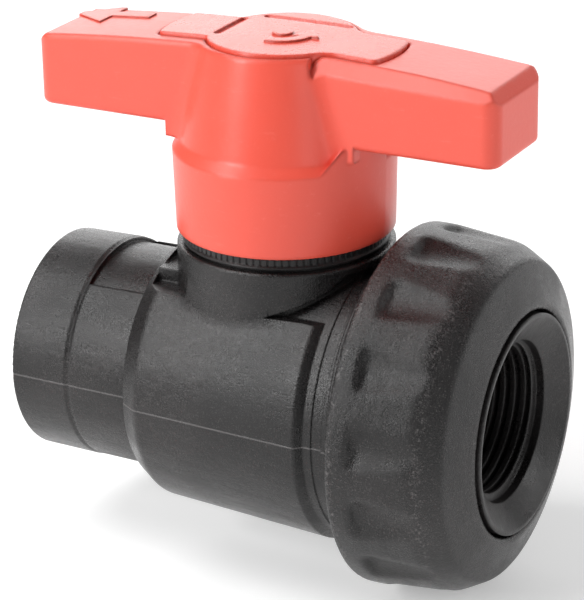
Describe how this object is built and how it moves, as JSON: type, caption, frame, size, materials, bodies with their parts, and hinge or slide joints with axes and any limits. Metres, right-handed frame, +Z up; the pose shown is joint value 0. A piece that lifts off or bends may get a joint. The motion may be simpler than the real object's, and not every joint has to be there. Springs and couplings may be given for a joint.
{
  "type": "seacock valve",
  "caption": "Quarter-turn full-bore ball valve in black glass-filled plastic with a red lever handle and a union nut at one end.",
  "frame": {"origin": "the centre of the ball, where the pipe axis and the stem axis cross", "axes": "+X along the pipe axis towards the union end, +Z up the stem axis towards the handle, +Y completes a right-handed set"},
  "size_m": [0.1081, 0.075, 0.1129],
  "materials": {
    "body": "satin glass-filled nylon, fine grain",
    "body_trim": "satin moulded plastic, finely ribbed edge",
    "nut": "satin glass-filled nylon, fine grain",
    "tail": "smoother satin glass-filled nylon",
    "handle": "satin moulded plastic, coral red",
    "handle_cap": "satin moulded plastic, coral red",
    "ball": "polished plastic",
    "stem": "turned glass-filled plastic",
    "bush": "acetal, plain",
    "ptfe": "white PTFE, waxy",
    "seal": "nitrile rubber",
    "steel": "stainless steel"
  },
  "bodies": {
    "casing": {"valve_body": "body", "inlet_seat": "ptfe", "inlet_seat_o_ring": "seal", "stem_bush": "bush", "stop_ring": "body_trim"},
    "ball": {"ball": "ball"},
    "spindle": {"stem": "stem", "stem_o_ring_lower": "seal", "stem_o_ring_upper": "seal", "stem_thrust_washer": "ptfe", "handle": "handle", "handle_cap": "handle_cap", "handle_screw": "steel", "handle_screw_washer": "steel"},
    "tail": {"union_tail": "tail", "outlet_seat": "ptfe", "outlet_seat_o_ring": "seal", "tail_o_ring": "seal", "union_face_o_ring": "seal"},
    "union_nut": {"union_nut": "nut"}
  },
  "joints": [
    {"name": "handle_turn", "type": "hinge", "parent": "casing", "child": "spindle", "pos_m": [0, 0, 0], "axis": [0, 0, 1], "range_deg": [-90, 0]},
    {"name": "ball_turn", "type": "hinge", "parent": "casing", "child": "ball", "pos_m": [0, 0, 0], "axis": [0, 0, 1], "range_deg": [-90, 0]},
    {"name": "tail_slide", "type": "slide", "parent": "casing", "child": "tail", "axis": [1, 0, 0], "range_m": [0, 0.0125]},
    {"name": "nut_turn", "type": "hinge", "parent": "tail", "child": "union_nut", "pos_m": [0.04, 0, 0], "axis": [1, 0, 0], "range_deg": [0, 1125]}
  ],
  "couplings": [
    {"joint": "ball_turn", "follows": "handle_turn", "ratio": 1},
    {"joint": "nut_turn", "follows": "tail_slide", "rad_per_m": 1570.8}
  ]
}
